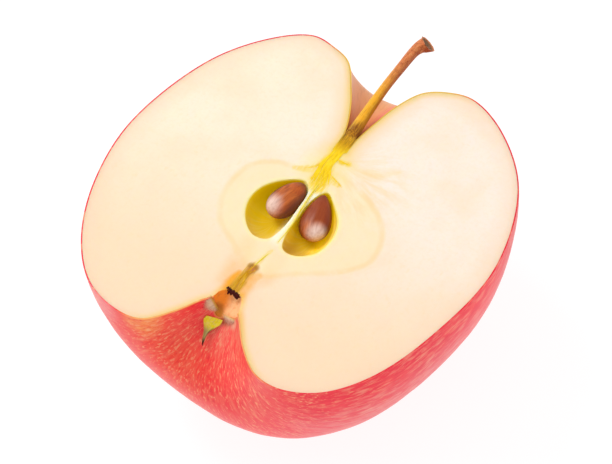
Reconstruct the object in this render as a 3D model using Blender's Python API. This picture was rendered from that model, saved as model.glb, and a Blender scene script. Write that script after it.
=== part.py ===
"""A halved apple lying with its cut face up.

The half body carries the stem basin, the calyx basin with its cup, and two seed chambers that are open to
the cut face. The stem, two seeds and three dried sepals are pieces of their own. The core line runs along
Y, with the stem towards +Y. The origin is the centre of the flat spot that the half rests on.
"""

import math

import bmesh
import bpy
from mathutils import Matrix, Vector

MM = 0.001
GAP = 0.3 * MM  # clearance between pieces that touch in a real apple

# Driving sizes. Lengths with MM are in metres.
HALF_DEPTH = 38.0 * MM  # from the cut face to the lowest point of the round back
REST_CUT = 0.8 * MM  # how much of the round back the flat spot takes off
REST_Y = 1.3 * MM  # where along the core line the flat spot is centred
CUT_HEIGHT = HALF_DEPTH - REST_CUT  # the cut face above the surface that the half rests on
TWIST = 0.07  # how far the back leans towards the right below and the left above
DEPTH_TAPER = 0.01  # how much deeper the calyx end is than the stem end
LOBE_DEPTH = 0.02  # height of the five crowns round the calyx end, as a share of the radius
LOBE_REACH = 9.0 * MM  # how far the crowns reach along the core line
HALF_HEIGHT = 36.0 * MM  # from the middle of the core line to either crest

# The cut outline, from the stem pit over the cheeks to the calyx cup: (left x, left y), (right x, right y)
# in millimetres, with the core line at x = 0.
OUTLINE = (
    ((-2.3, 14.6), (0.75, 14.6)),  # corner of the stem pit
    ((-2.45, 19.1), (0.85, 19.0)),  # throat of the pit
    ((-3.8, 24.1), (1.6, 24.0)),  # funnel
    ((-6.4, 28.6), (2.9, 28.8)),  # basin wall
    ((-10.2, 33.6), (5.6, 33.8)),  # basin lip
    ((-14.3, 35.2), (9.8, 36.2)),  # inner crest
    ((-19.0, 35.7), (14.5, 36.9)),  # crest
    ((-25.1, 32.0), (22.6, 33.3)),  # shoulder
    ((-32.8, 22.1), (32.2, 23.6)),  # upper cheek
    ((-38.1, 3.5), (37.7, 6.5)),  # widest part
    ((-36.6, -11.0), (35.7, -10.5)),  # waist
    ((-31.6, -22.6), (31.2, -23.2)),  # lower cheek
    ((-25.0, -30.2), (25.0, -30.8)),  # foot
    ((-17.6, -33.2), (18.0, -33.8)),  # foot crest
    ((-12.0, -32.9), (12.4, -33.2)),  # calyx lip
    ((-7.6, -28.6), (7.2, -29.2)),  # calyx basin wall
    ((-4.6, -24.2), (3.9, -25.2)),  # calyx basin floor
    ((-3.1, -22.5), (2.5, -23.6)),  # rim of the cup
    ((-2.7, -21.2), (1.9, -21.8)),  # cup wall
    ((-1.6, -20.0), (1.0, -20.3)),  # cup floor
)
RINGS_PER_SPAN = 3
BACK_SEGMENTS = 36

# Seed chambers: rim points (x, y) and the point above the deepest place, in millimetres.
CHAMBER_DEPTH = 4.4 * MM
CHAMBERS = {
    "left": (
        ((-0.9, 5.4), (-2.6, 6.9), (-6.2, 5.2), (-8.8, 2.2), (-9.4, -1.2), (-7.9, -5.0), (-4.5, -7.7),
         (-1.6, -7.2), (-0.5, -4.2), (-0.4, 1.0)),
        (-4.3, -0.6),
    ),
    "right": (
        ((0.95, 4.4), (2.3, 6.6), (4.9, 4.9), (7.8, 1.8), (8.8, -2.0), (7.8, -6.1), (4.6, -8.2),
         (1.9, -7.8), (0.75, -4.9), (0.5, 0.3)),
        (4.2, -1.2),
    ),
}
CHAMBER_RIM_STEPS = 5
CHAMBER_RINGS = 9

# Seeds: centre (x, y, height over the cut face), length, turn about Z towards the core line's stem end.
SEED_WIDTH = 5.5 * MM
SEED_THICKNESS = 3.7 * MM
SEED_TIP_RISE = math.radians(8)
SEED_TAPER = 0.33  # 0 is an ellipsoid, more makes the tip finer
SEEDS = {
    "left": ((-3.6, 2.1, -0.8), 8.9 * MM, math.radians(-16)),
    "right": ((3.5, 1.3, -0.8), 9.3 * MM, math.radians(16.5)),
}
SEED_RINGS = 20
SEED_SEGMENTS = 24

# Stem: centre line points (x, y, height over the cut face) and radii, in millimetres.
STEM_LINE = ((-0.8, 15.0, 0.0), (-1.0, 20.0, 0.0), (-1.15, 26.0, 0.0), (-1.2, 32.0, 0.0), (-1.1, 37.0, 0.0),
             (-0.75, 41.0, 0.0), (0.4, 44.0, 0.0))
STEM_RADII = (1.05, 1.05, 1.0, 0.88, 0.9, 1.05, 1.6)
STEM_STEPS = 4
STEM_SEGMENTS = 16

# Sepals: root on the outline, counted in outline points, angle round the core line (0 is the right cut edge,
# 90 straight down), length, half width, tip lift.
SEPAL_THICKNESS = 0.45 * MM
SEPALS = {
    "left": (16.6, math.radians(161), 2.0 * MM, 1.2 * MM, 0.4 * MM),
    "middle": (16.4, math.radians(114), 5.7 * MM, 1.15 * MM, 0.8 * MM),
    "right": (16.8, math.radians(72), 1.9 * MM, 1.0 * MM, 0.3 * MM),
}
SEPAL_RINGS = 10

SKIN_RED = (0.62, 0.055, 0.07)
SEED_BROWN = (0.19, 0.065, 0.03)
STEM_BROWN = (0.32, 0.16, 0.04)
SEPAL_GREEN = (0.38, 0.36, 0.08)


def clear_scene():
    for obj in list(bpy.data.objects):
        bpy.data.objects.remove(obj)


def material(name, colour, roughness):
    made = bpy.data.materials.new(name)
    made.use_nodes = True
    shader = made.node_tree.nodes["Principled BSDF"]
    shader.inputs["Base Color"].default_value = (*colour, 1.0)
    shader.inputs["Roughness"].default_value = roughness
    shader.inputs["Metallic"].default_value = 0.0
    return made


def between(first, second, low, high, t):
    share = (t - low) / (high - low)
    return first * (1 - share) + second * share


def on_spline(points, place):
    """The point at this place on a smooth curve through the points, counted from 0 at the first of them."""
    last = len(points) - 1
    index = min(int(place), last - 1)
    before = points[index - 1] if index else 2 * points[0] - points[1]
    after = points[index + 2] if index + 2 <= last else 2 * points[last] - points[last - 1]
    chain = (before, points[index], points[index + 1], after)
    knots = [0.0]
    for a, b in zip(chain, chain[1:]):
        knots.append(knots[-1] + math.sqrt((b - a).length))
    t = knots[1] + (knots[2] - knots[1]) * (place - index)
    pairs = [between(chain[i], chain[i + 1], knots[i], knots[i + 1], t) for i in range(3)]
    halves = [between(pairs[i], pairs[i + 1], knots[i], knots[i + 2], t) for i in range(2)]
    return between(halves[0], halves[1], knots[1], knots[2], t)


def outline_point(side, place):
    points = [Vector((row[side][0] * MM, row[side][1] * MM)) for row in OUTLINE]
    return on_spline(points, place)


def back_point(place, angle):
    """A point of the round back: place along the outline, angle round the core line from the right edge."""
    left = outline_point(0, place)
    right = outline_point(1, place)
    share = (1 + math.cos(angle)) / 2
    y = share * right.y + (1 - share) * left.y
    middle = (left.x + right.x) / 2
    radius = (right.x - left.x) / 2
    along = y / HALF_HEIGHT
    lean = -TWIST * along * math.cos(angle)
    crown = LOBE_DEPTH * math.exp(-(((y + HALF_HEIGHT) / LOBE_REACH) ** 2)) * math.cos(5 * angle)
    radius *= 1 + math.sin(angle) * (lean + crown)
    depth = 1 - DEPTH_TAPER * along
    return Vector((middle + radius * math.cos(angle), y, -radius * math.sin(angle) * depth))


def fan(mesh, ring, centre):
    for a, b in zip(ring, ring[1:]):
        mesh.faces.new((a, b, centre))


def add_object(name, mesh, look, core):
    """Recalculates the normals outwards, shades the piece smooth and hangs it on the core line's empty."""
    bmesh.ops.recalc_face_normals(mesh, faces=mesh.faces)
    data = bpy.data.meshes.new(name)
    mesh.to_mesh(data)
    mesh.free()
    data.shade_smooth()
    data.set_sharp_from_angle(angle=math.radians(40))
    obj = bpy.data.objects.new(name, data)
    bpy.context.scene.collection.objects.link(obj)
    data.materials.append(look)
    obj.parent = core
    return obj


def add_back(mesh):
    """Adds the round back with both basins, and returns the ring of vertices where the knife cut it."""
    places = [i / RINGS_PER_SPAN for i in range((len(OUTLINE) - 1) * RINGS_PER_SPAN + 1)]
    angles = [math.pi * i / BACK_SEGMENTS for i in range(BACK_SEGMENTS + 1)]
    rings = [[mesh.verts.new(back_point(place, angle)) for angle in angles] for place in places]
    for first, second in zip(rings, rings[1:]):
        for i in range(BACK_SEGMENTS):
            mesh.faces.new((first[i], first[i + 1], second[i + 1], second[i]))
    centres = []
    for ring in (rings[0], rings[-1]):
        centre = mesh.verts.new((ring[0].co + ring[-1].co) / 2)
        fan(mesh, ring, centre)
        centres.append(centre)
    right_edge = [ring[0] for ring in rings]
    left_edge = [ring[-1] for ring in rings]
    return [centres[0], *right_edge, centres[1], *reversed(left_edge)]


def add_chamber(mesh, rim, deepest):
    """Adds a bowl that hangs from a rim in the cut face, and returns its rim of vertices."""
    points = [Vector((x * MM, y * MM)) for x, y in rim]
    count = len(points) * CHAMBER_RIM_STEPS
    looped = points[-2:] + points + points[:3]
    outline = [on_spline(looped, 2 + i / CHAMBER_RIM_STEPS) for i in range(count)]
    centre = Vector((deepest[0] * MM, deepest[1] * MM))
    rings = []
    for level in range(CHAMBER_RINGS):
        turn = math.pi / 2 * level / CHAMBER_RINGS
        flat = [centre + (point - centre) * math.cos(turn) for point in outline]
        height = -CHAMBER_DEPTH * math.sin(turn)
        rings.append([mesh.verts.new((point.x, point.y, height)) for point in flat])
    for first, second in zip(rings, rings[1:]):
        for i in range(count):
            j = (i + 1) % count
            mesh.faces.new((first[i], first[j], second[j], second[i]))
    bottom = mesh.verts.new((centre.x, centre.y, -CHAMBER_DEPTH))
    fan(mesh, [*rings[-1], rings[-1][0]], bottom)
    return rings[0]


def edges_round(mesh, ring):
    """The edges that join a closed ring of vertices, made where they are missing."""
    pairs = zip(ring, [*ring[1:], ring[0]])
    return [mesh.edges.get(pair) or mesh.edges.new(pair) for pair in pairs]


def body_mesh():
    mesh = bmesh.new()
    edges = edges_round(mesh, add_back(mesh))
    for rim, deepest in CHAMBERS.values():
        edges += edges_round(mesh, add_chamber(mesh, rim, deepest))
    bmesh.ops.triangle_fill(mesh, use_beauty=True, edges=edges, normal=(0, 0, 1))
    low = Vector((0, 0, -CUT_HEIGHT))
    geometry = [*mesh.verts, *mesh.edges, *mesh.faces]
    bmesh.ops.bisect_plane(mesh, geom=geometry, plane_co=low, plane_no=(0, 0, -1), clear_outer=True)
    bmesh.ops.holes_fill(mesh, edges=[edge for edge in mesh.edges if edge.is_boundary])
    return mesh


def seed_mesh(length):
    """A drop turned along Y, with its tip at +Y, wider than it is thick."""
    mesh = bmesh.new()
    shares = [math.cos(math.pi * i / SEED_RINGS) for i in range(1, SEED_RINGS)]
    widths = [math.sqrt(1 - share * share) * (1 - SEED_TAPER * share) for share in shares]
    widest = max(widths)
    rings = []
    for share, width in zip(shares, widths):
        ring = []
        for i in range(SEED_SEGMENTS):
            turn = 2 * math.pi * i / SEED_SEGMENTS
            x = SEED_WIDTH / 2 * width / widest * math.cos(turn)
            z = SEED_THICKNESS / 2 * width / widest * math.sin(turn)
            ring.append(mesh.verts.new((x, share * length / 2, z)))
        rings.append(ring)
    for first, second in zip(rings, rings[1:]):
        for i in range(SEED_SEGMENTS):
            j = (i + 1) % SEED_SEGMENTS
            mesh.faces.new((first[i], first[j], second[j], second[i]))
    for ring, end in ((rings[0], length / 2), (rings[-1], -length / 2)):
        fan(mesh, [*ring, ring[0]], mesh.verts.new((0, end, 0)))
    return mesh


def tube_mesh(line, radii):
    """A round bar along a smooth line, with flat ends."""
    mesh = bmesh.new()
    points = [Vector(point) * MM for point in line]
    sizes = [Vector((radius * MM, 0.0)) for radius in radii]
    count = (len(points) - 1) * STEM_STEPS
    rings = []
    for i in range(count + 1):
        place = i / STEM_STEPS
        middle = on_spline(points, place)
        ahead = on_spline(points, min(place + 0.05, len(points) - 1))
        behind = on_spline(points, max(place - 0.05, 0))
        along = (ahead - behind).normalized()
        across = along.cross(Vector((0, 0, 1))).normalized()
        up = across.cross(along)
        index = min(int(place), len(sizes) - 2)
        radius = sizes[index].lerp(sizes[index + 1], place - index).x
        ring = []
        for k in range(STEM_SEGMENTS):
            turn = 2 * math.pi * k / STEM_SEGMENTS
            ring.append(mesh.verts.new(middle + radius * (across * math.cos(turn) + up * math.sin(turn))))
        rings.append(ring)
    for first, second in zip(rings, rings[1:]):
        for k in range(STEM_SEGMENTS):
            j = (k + 1) % STEM_SEGMENTS
            mesh.faces.new((first[k], first[j], second[j], second[k]))
    mesh.faces.new(rings[0])
    mesh.faces.new(rings[-1])
    return mesh


def sepal_mesh(root, angle, length, half_width, lift):
    """A thin leaf that starts at the cup's rim and lies along the basin wall, its tip lifted off it."""
    mesh = bmesh.new()
    rings = []
    for i in range(SEPAL_RINGS + 1):
        share = i / SEPAL_RINGS
        place = root
        walked = 0.0
        here = back_point(place, angle)
        while walked < share * length and place > 1:
            place -= 0.01
            step = back_point(place, angle)
            walked += (step - here).length
            here = step
        along = (back_point(place - 0.05, angle) - back_point(place + 0.05, angle)).normalized()
        across = (back_point(place, angle + 0.02) - back_point(place, angle - 0.02)).normalized()
        off = along.cross(across).normalized()
        if off.y > 0:
            off = -off
        half = half_width * (1 - share) ** 2 * (0.85 + 3 * share) + 0.12 * MM
        bottom = here + off * (GAP + 0.25 * MM + lift * share ** 2)
        top = bottom + off * SEPAL_THICKNESS
        rings.append([mesh.verts.new(corner) for corner in
                      (bottom - across * half, bottom + across * half, top + across * half * 0.7,
                       top - across * half * 0.7)])
    for first, second in zip(rings, rings[1:]):
        for k in range(4):
            j = (k + 1) % 4
            mesh.faces.new((first[k], first[j], second[j], second[k]))
    mesh.faces.new(rings[0])
    mesh.faces.new(rings[-1])
    return mesh


def make_seeds(core):
    brown = material("seed", SEED_BROWN, 0.3)
    for side, (centre, length, turn) in SEEDS.items():
        seed = add_object(f"seed_{side}", seed_mesh(length), brown, core)
        seed.location = Vector(centre) * MM
        seed.rotation_euler = (Matrix.Rotation(turn, 3, "Z") @ Matrix.Rotation(SEED_TIP_RISE, 3, "X")).to_euler()


def make_sepals(core):
    green = material("sepal", SEPAL_GREEN, 0.7)
    for side, sizes in SEPALS.items():
        add_object(f"sepal_{side}", sepal_mesh(*sizes), green, core)


def main():
    clear_scene()
    core = bpy.data.objects.new("core", None)
    core.location = (0, -REST_Y, CUT_HEIGHT)
    bpy.context.scene.collection.objects.link(core)
    add_object("apple_half", body_mesh(), material("skin", SKIN_RED, 0.35), core)
    make_seeds(core)
    add_object("stem", tube_mesh(STEM_LINE, STEM_RADII), material("stem", STEM_BROWN, 0.7), core)
    make_sepals(core)


main()
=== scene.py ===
"""A halved apple lying with its cut face up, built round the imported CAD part.

Shapes are worked out in the core's own frame: the origin is on the core line in the cut face, X runs to the
right, Y along the core line towards the stalk and Z up out of the cut face. Outlines, lines and the places in
a look are in millimetres. Lengths with MM, and the pieces as they are added, are in metres.
"""

import math
import random

import bmesh
import bpy
import numpy as np
from bpy.props import FloatProperty, FloatVectorProperty, IntProperty, PointerProperty
from mathutils import Matrix, Vector, kdtree, noise
from mathutils.geometry import delaunay_2d_cdt


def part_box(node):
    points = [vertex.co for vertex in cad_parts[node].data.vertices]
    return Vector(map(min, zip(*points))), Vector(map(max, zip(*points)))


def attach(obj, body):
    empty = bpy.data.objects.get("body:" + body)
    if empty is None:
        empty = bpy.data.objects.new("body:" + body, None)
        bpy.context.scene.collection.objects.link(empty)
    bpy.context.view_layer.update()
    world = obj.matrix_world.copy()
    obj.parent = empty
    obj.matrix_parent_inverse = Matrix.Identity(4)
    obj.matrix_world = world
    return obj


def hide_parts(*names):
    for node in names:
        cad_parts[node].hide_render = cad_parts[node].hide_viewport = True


bl_info = {
    "name": "Halved apple",
    "version": (1, 0, 0),
    "blender": (4, 5, 0),
    "location": "3D View > Sidebar > Fruit",
    "description": "Builds a halved apple with its seed chambers, seeds, stalk and dried calyx",
    "category": "Add Mesh",
}

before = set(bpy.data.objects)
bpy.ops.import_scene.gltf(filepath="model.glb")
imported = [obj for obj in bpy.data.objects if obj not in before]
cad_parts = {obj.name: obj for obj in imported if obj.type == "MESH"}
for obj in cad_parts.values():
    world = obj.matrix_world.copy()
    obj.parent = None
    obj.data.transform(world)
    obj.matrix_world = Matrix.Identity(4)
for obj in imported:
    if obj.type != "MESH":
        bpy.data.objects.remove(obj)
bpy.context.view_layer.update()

MM = 0.001
STALK_ROOT = 15.0 * MM  # from the core's origin to the lower end of the stalk
CORE = Vector((0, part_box("stem")[0].y - STALK_ROOT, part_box("apple_half")[1].z))

# The round back, as the CAD part has it.
TWIST = 0.07  # how far the back leans towards the right below and the left above
DEPTH_TAPER = 0.01  # how much deeper the calyx end is than the stalk end
LOBE_DEPTH = 0.02  # height of the five crowns round the calyx end, as a share of the radius
LOBE_REACH = 9.0 * MM
HALF_HEIGHT = 36.0 * MM
SWELL_LUMPS = ((95.0, 1.0), (260.0, 0.35))  # lumps per metre of the slow unevenness, and how strong they are
SWELL_FADE = 6.0 * MM  # how far under the cut face it reaches its full height

# The cut outline, from the stalk pit over the cheeks to the calyx cup: (left x, left y), (right x, right y)
# in millimetres, with the core line at x = 0.
OUTLINE = (
    ((-1.82, 15.2), (0.46, 15.6)),  # end of the stalk's root
    ((-1.98, 19.2), (0.6, 19.0)),  # throat of the pit
    ((-3.8, 24.1), (1.6, 24.0)),  # funnel
    ((-6.4, 28.6), (2.9, 28.8)),  # basin wall
    ((-10.2, 33.6), (5.6, 33.8)),  # basin lip
    ((-14.3, 35.2), (9.8, 36.2)),  # inner crest
    ((-19.0, 35.7), (14.5, 36.9)),  # crest
    ((-25.1, 32.0), (22.6, 33.3)),  # shoulder
    ((-32.8, 22.1), (32.2, 23.6)),  # upper cheek
    ((-37.9, 3.5), (37.7, 6.5)),  # widest part
    ((-36.4, -11.0), (35.7, -10.5)),  # waist
    ((-31.6, -22.6), (31.2, -23.2)),  # lower cheek
    ((-25.0, -30.2), (25.0, -30.8)),  # foot
    ((-17.6, -33.2), (18.0, -33.8)),  # foot crest
    ((-12.0, -32.9), (12.4, -33.2)),  # calyx lip
    ((-7.6, -28.6), (7.2, -29.2)),  # calyx basin wall
    ((-4.6, -24.2), (3.9, -25.2)),  # calyx basin floor
    ((-3.1, -22.5), (2.5, -23.6)),  # rim of the cup
    ((-2.7, -21.2), (1.9, -21.8)),  # cup wall
    ((-1.6, -20.0), (1.0, -20.3)),  # cup floor
)
OUTLINE_SAMPLES = 1200
RINGS_PER_SPAN = 10
SKIN_SEGMENTS = 144
FLESH_SEGMENTS = 72

# Where the skin ends at the cup, counted in outline points, and how much sooner it ends round one angle.
CUP_RIM = 17.05
CUP_DIP = 0.75
CUP_DIP_START = 15
CUP_DIP_ANGLE = math.radians(118)
CUP_DIP_WIDTH = math.radians(26)
CUP_LINING = CUP_RIM - 1.2  # where the cup's lining starts, under the skin
SKIN_GAP = 0.02 * MM  # between the skin and the flesh
LIP_WIDTH = 0.3  # of the skin's pale end, in outline points

# Seed chambers: rim points and the point above the deepest place, in millimetres.
CHAMBERS = {
    "left": (
        ((-0.9, 5.4), (-2.6, 6.9), (-6.2, 5.2), (-8.8, 2.2), (-9.4, -1.2), (-7.9, -5.0), (-4.5, -7.7),
         (-1.6, -7.2), (-0.5, -4.2), (-0.4, 1.0)),
        (-4.3, -0.6),
    ),
    "right": (
        ((0.95, 4.4), (2.3, 6.6), (4.9, 4.9), (7.8, 1.8), (8.8, -2.0), (7.8, -6.1), (4.6, -8.2),
         (1.9, -7.8), (0.75, -4.9), (0.5, 0.3)),
        (4.2, -1.2),
    ),
}
CHAMBER_RIM_STEPS = 14
CHAMBER_RINGS = 26
CHAMBER_LIP = 0.28  # how far the wall turns in under the rim
CHAMBER_LIP_EASE = 8.8  # how soon it does
CHAMBER_SPREAD = 0.9  # under 1 the bowl stays wide further down
CHAMBER_BEND = 1.05  # over 1 the wall drops more gently at first
GENTLE_SIDE = (3.0, 4.0)  # from this x, and over this width, the wall comes to bend twice as much

# The cut face's points lie closer together round the core, and its relief is a fraction of a millimetre.
CORE_AREA = ((-19.0, -26.0), (19.0, 22.0))
KNIFE_WAVES = ((0.035, 0.45), (0.015, 1.7))  # height and waves per millimetre
FACE_DROP = 0.02
VESSEL_RIDGE = (0.03, 0.5)  # height and half width
RIM_RIDGE = (0.05, 0.3, 0.5)  # height, half width and distance from the chamber
FLAT_BY_SKIN = 1.5
FLAT_BY_CHAMBER = 0.4

# The faint line of vessels round the core, in millimetres.
CORE_LOOP = (
    (0.2, 10.8), (5.0, 10.2), (10.9, 8.0), (16.0, 3.3), (17.2, -2.8), (13.7, -7.2), (7.5, -11.0),
    (2.0, -14.6), (-1.6, -14.2), (-6.0, -11.2), (-11.5, -7.6), (-14.2, -1.8), (-13.3, 5.1), (-9.5, 8.0),
    (-4.9, 8.8),
)
LOOP_STEPS = 40
RIM_STEPS = 30

# Colours that lie in the cut face: rows of x, y and half width in millimetres, then the strength.
YELLOW_LINES = (
    (((-0.75, 17.0, 1.0), (-0.9, 14.6, 1.05), (-1.2, 12.0, 1.15), (-0.75, 10.0, 1.3), (-0.3, 8.0, 1.7),
      (0.0, 6.9, 1.5)), 1.0),
    (((-1.8, 12.3, 0.8), (-2.6, 10.2, 0.8), (-4.1, 9.2, 0.7), (-5.9, 8.5, 0.4)), 0.55),
    (((-0.9, 14.3, 0.6), (-0.4, 13.8, 0.6), (0.9, 13.5, 0.5), (2.4, 13.7, 0.5)), 0.75),
    (((-0.3, 11.6, 0.8), (0.6, 10.0, 0.7), (1.9, 9.2, 0.6), (3.2, 8.8, 0.4)), 0.55),
    (((-0.05, 6.2, 0.4), (0.02, 4.5, 0.4), (0.15, 2.5, 0.4), (0.3, 0.5, 0.4), (0.55, -2.0, 0.4),
      (0.6, -4.5, 0.4), (0.5, -7.0, 0.3)), 0.45),
    (((0.5, -9.0, 0.3), (0.0, -11.2, 0.4), (-0.4, -13.0, 0.5)), 0.5),
)
ORANGE_LINES = (
    (((-1.4, -20.0, 0.8), (-2.0, -18.8, 0.7), (-2.2, -17.4, 0.5), (-2.0, -15.8, 0.3)), 1.0),
    (((0.8, -20.6, 0.6), (0.45, -18.8, 0.65), (0.45, -17.4, 0.7), (0.8, -16.0, 0.6), (1.4, -15.0, 0.4)), 0.8),
    (((-3.0, -18.0, 0.9), (-3.2, -14.0, 1.0), (-4.2, -9.8, 0.8)), 0.4),
    (((1.4, -16.4, 0.7), (3.0, -14.0, 0.8), (2.6, -10.0, 0.7)), 0.25),
    (((2.0, 14.0, 0.35), (5.5, 13.4, 0.45), (8.5, 14.3, 0.4), (11.5, 16.6, 0.15)), 0.6),
    (((2.7, -24.2, 0.6), (4.2, -26.6, 0.6), (6.0, -29.2, 0.5)), 0.5),
)
BUNDLE_LINES = (
    (((-1.05, -19.6, 0.95), (-0.95, -17.8, 0.8), (-0.8, -16.2, 0.8), (-0.55, -14.8, 0.85),
      (-0.45, -13.9, 0.95)), 1.0),
    (((-0.2, -19.4, 0.5), (-0.25, -17.4, 0.6)), 0.9),
)

# Seeds: centre (x, y, height over the cut face) in millimetres, length, turn about Z and how much they narrow
# to the tip.
SEEDS = {
    "left": ((-3.55, 2.25, -0.8), 8.5 * MM, math.radians(-16), 0.16),
    "right": ((3.4, 1.4, -0.8), 9.4 * MM, math.radians(16.5), 0.38),
}
SEED_RINGS = 56
SEED_SEGMENTS = 64
SEED_KEEL = 0.1 * MM
SEED_FOLD = 0.035 * MM

# Stalk: centre line points and radii, and how it is cut, in millimetres.
STALK_LINE = ((-0.68, 15.4, -0.5), (-0.68, 18.0, -0.2), (-0.68, 20.3, 0.0), (-0.98, 26.0, 0.0),
              (-1.1, 32.0, 0.0), (-0.98, 37.0, 0.0), (-0.75, 41.2, 0.0), (-0.28, 42.8, 0.0),
              (0.5, 43.85, 0.0))
STALK_RADII = (1.2, 1.24, 1.14, 0.95, 0.86, 0.9, 1.0, 1.25, 1.65)
STALK_STEPS = 14
STALK_SEGMENTS = 48
STALK_CUT = 19.2  # below this the root is sliced
STALK_CUT_HEIGHT = 0.05  # of the sliced root over the cut face
STALK_CUT_SLOPE = (2.2, 2.0)  # how high the slice runs out of the stalk, and over what length
STALK_END = np.array([0.53, 0.68, 0.51])  # which way the torn end faces
STALK_END_RINGS = 8  # how many rings lean with it
STALK_END_HOLLOW = 0.6

# Strands finer than the stalk: their points and their largest radius, in millimetres.
STRAND_STEPS = 5
STRAND_SEGMENTS = 7
ROOT_FIBRES = 46
ROOT_BRANCHES = (
    (((-1.9, 12.6, 0.0), (-2.6, 10.7, 0.0), (-3.9, 9.4, -0.02), (-5.9, 8.5, -0.05)), 4, 0.06),
    (((-1.2, 10.2, 0.0), (-1.5, 8.8, 0.0), (-2.0, 7.9, -0.02), (-2.6, 7.3, -0.05)), 4, 0.06),
    (((-1.0, 14.6, 0.0), (-0.2, 13.9, 0.0), (0.9, 13.5, -0.02), (2.4, 13.7, -0.05)), 5, 0.07),
    (((-0.2, 11.6, 0.0), (0.5, 10.2, 0.0), (1.7, 9.6, -0.02), (3.9, 8.8, -0.05)), 4, 0.06),
)
THREADS = (
    (((0.0, 7.4, 0.0), (-0.05, 6.2, 0.03), (0.02, 4.5, 0.05), (0.15, 2.5, 0.05), (0.3, 0.5, 0.05),
      (0.55, -2.0, 0.05), (0.6, -4.5, 0.02), (0.5, -6.9, -0.03)), 0.15),
    (((0.3, 7.2, -0.02), (0.25, 5.6, 0.0), (0.4, 3.4, 0.0), (0.55, 1.0, 0.0), (0.8, -1.4, -0.02)), 0.07),
    (((0.5, -9.6, -0.06), (0.0, -11.2, 0.0), (-0.2, -12.1, 0.02), (-0.45, -13.2, 0.0)), 0.12),
)
BUNDLE_STRANDS = 7
STAMENS = 22

# Calyx leaves: root on the outline, angle round the core line, length, half widths from root to tip in
# millimetres, tip lift, sideways curl, thickness and how far the root runs askew.
LEAVES = {
    "left": (16.9, math.radians(156), 2.9 * MM, (2.1, 2.1, 1.8, 1.2, 0.4), 0.06 * MM, 0.0, 0.14 * MM, 0.0),
    "middle": (16.12, math.radians(117), 5.1 * MM, (1.4, 1.5, 1.1, 0.6, 0.34, 0.24, 0.09), 0.7 * MM,
               -1.1 * MM, 0.3 * MM, 0.5),
    "right": (16.95, math.radians(72), 1.7 * MM, (2.2, 2.2, 2.0, 1.4, 0.4), 0.02 * MM, 0.0, 0.1 * MM, 0.0),
}
LEAF_ROWS = 30
LEAF_COLUMNS = 13
LEAF_CLEAR = 0.12 * MM  # over the skin
LEAF_RUN = 6  # how far up the outline a leaf may reach, in outline points
LEAF_SPAN = 0.02  # the angle on either side over which its direction is taken

# Stage.
FLOOR_HALF = 4.0
FLOOR_DROP = 0.2 * MM
AIM = Vector((0.7, 0, 0)) * MM  # where the camera looks, from the core, before the framing moves it
AIM_RIGHT = 1.07 * MM
AIM_UP = -3.04 * MM
SENSOR_WIDTH = 36.0
SKY = {"From Min": 0.08, "From Max": 0.3, "To Min": 1.0, "To Max": 0.66}  # by the height of the look
LIGHTS = {  # direction, distance, width and height in metres, and watts
    "key": ((-0.54, 0.10, 0.835), 0.9, 0.4, 0.4, 4.0),
    "side": ((0.97, 0.22, 0.18), 0.9, 0.5, 0.35, 0.5),
}


def linear(red, green, blue):
    """A colour given in the 0 to 255 display scale, as the linear values that shaders take."""
    shares = (value / 255 for value in (red, green, blue))
    return tuple(v / 12.92 if v <= 0.04045 else ((v + 0.055) / 1.055) ** 2.4 for v in shares)


def colour(name, description, *display):
    return FloatVectorProperty(name=name, description=description, subtype="COLOR", size=3, min=0, max=1,
                               default=linear(*display))


def size(name, description, millimetres):
    return FloatProperty(name=name, description=description, default=millimetres * MM, min=0,
                         subtype="DISTANCE", unit="LENGTH")


def angle(name, description, degrees):
    return FloatProperty(name=name, description=description, default=math.radians(degrees), subtype="ANGLE")


def group(name, kind):
    return PointerProperty(name=name, description=f"Sizes and colours: {name.lower()}", type=kind)


class FleshSettings(bpy.types.PropertyGroup):
    grid: size("Grid", "Spacing of the cut face's points away from the core", 0.7)
    core_grid: size("Core grid", "Spacing of the cut face's points round the core", 0.33)
    chamber_depth: size("Chamber depth", "Depth of the seed chambers under the cut face", 3.9)
    cream: colour("Cream", "Main colour of the flesh", 252, 236, 212)
    butter: colour("Butter", "Yellower flesh inside the core line", 252, 229, 180)
    peach: colour("Peach", "Warmer flesh near the calyx", 251, 221, 187)
    vein: colour("Vein", "The line of vessels round the core", 248, 202, 112)
    lining: colour("Lining", "Horny lining of the seed chambers", 246, 206, 0)


class SkinSettings(bpy.types.PropertyGroup):
    thickness: size("Thickness", "Thickness of the skin", 0.24)
    swell: size("Swell", "Height of the slow unevenness of the back", 0.16)
    red: colour("Red", "Main red", 251, 52, 64)
    deep: colour("Deep red", "Red of the darker streaks", 246, 24, 54)
    ground: colour("Ground", "Yellow ground colour that shows through in dashes", 255, 176, 128)
    russet: colour("Russet", "Tan of the stalk basin", 234, 160, 98)
    edge: colour("Cut edge", "Edge of the skin in the stalk basin", 230, 184, 66)


class SeedSettings(bpy.types.PropertyGroup):
    width: size("Width", "Width of a seed", 5.75)
    thickness: size("Thickness", "Thickness of a seed", 3.8)
    tip_rise: angle("Tip rise", "How far a seed's tip is raised", 8)
    coat: colour("Coat", "Middle of the seed coat", 204, 106, 36)
    dark: colour("Dark", "Edges and tip of the seed coat", 92, 34, 12)
    # Pale is a painted highlight on each seed's blunt end.
    pale: colour("Pale", "Worn blunt end", 244, 212, 198)


class StalkSettings(bpy.types.PropertyGroup):
    ridges: IntProperty(name="Ridges", description="Fine ridges round the stalk", default=9, min=3)
    ridge_height: FloatProperty(name="Ridge height", description="As a share of the radius", default=0.035)
    gold: colour("Gold", "Lower stalk", 248, 176, 34)
    brown: colour("Brown", "Upper stalk", 220, 128, 74)
    ochre: colour("Ochre", "Sliced root of the stalk", 234, 168, 0)
    fibre: colour("Fibre", "Vessels under the stalk", 252, 212, 24)


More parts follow.
